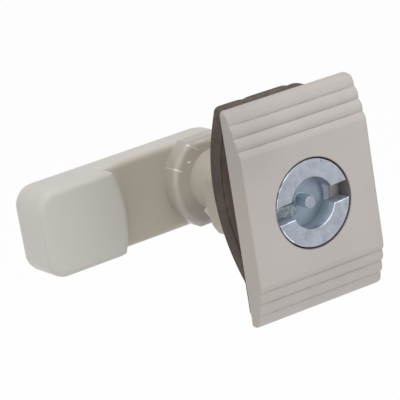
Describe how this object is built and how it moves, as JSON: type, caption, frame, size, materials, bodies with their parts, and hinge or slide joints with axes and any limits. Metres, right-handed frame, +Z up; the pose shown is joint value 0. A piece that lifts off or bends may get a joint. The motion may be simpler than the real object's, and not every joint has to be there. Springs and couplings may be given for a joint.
{
  "type": "quarter-turn cabinet lock",
  "caption": "Quarter-turn cabinet lock: rectangular reeded face plate with a double-bit key socket, bowed rubber gasket, hexagon fixing nut and a long moulded cam with a thick pad.",
  "frame": {"origin": "on the spindle axis at the back of the face plate, where the plate meets the panel and its gasket", "axes": "+Z up along the plate's height, +Y along the spindle into the cabinet, +X to the right seen from the front; at rest the cam points to -X"},
  "size_m": [0.0648, 0.0553, 0.05],
  "materials": {
    "plate_plastic": "semi-matt moulded warm grey",
    "gasket_rubber": "dull dark brown-grey",
    "nut_plastic": "semi-matt moulded cream grey",
    "zinc_casting": "dull blue-grey cast metal with light scratches",
    "ring_rubber": "black",
    "cam_plastic": "semi-matt moulded light grey",
    "plated_steel": "bright zinc plating"
  },
  "bodies": {
    "housing": {"face_housing": "plate_plastic", "panel_gasket": "gasket_rubber", "fixing_nut": "nut_plastic"},
    "rotor": {"lock_insert": "zinc_casting", "sealing_ring": "ring_rubber", "cam": "cam_plastic", "cam_washer": "plated_steel", "cam_spring_washer": "plated_steel", "cam_screw": "plated_steel"}
  },
  "joints": [
    {"name": "cam_turn", "type": "hinge", "parent": "housing", "child": "rotor", "pos_m": [0, 0, 0], "axis": [0, -1, 0], "range_deg": [0, 90]}
  ]
}
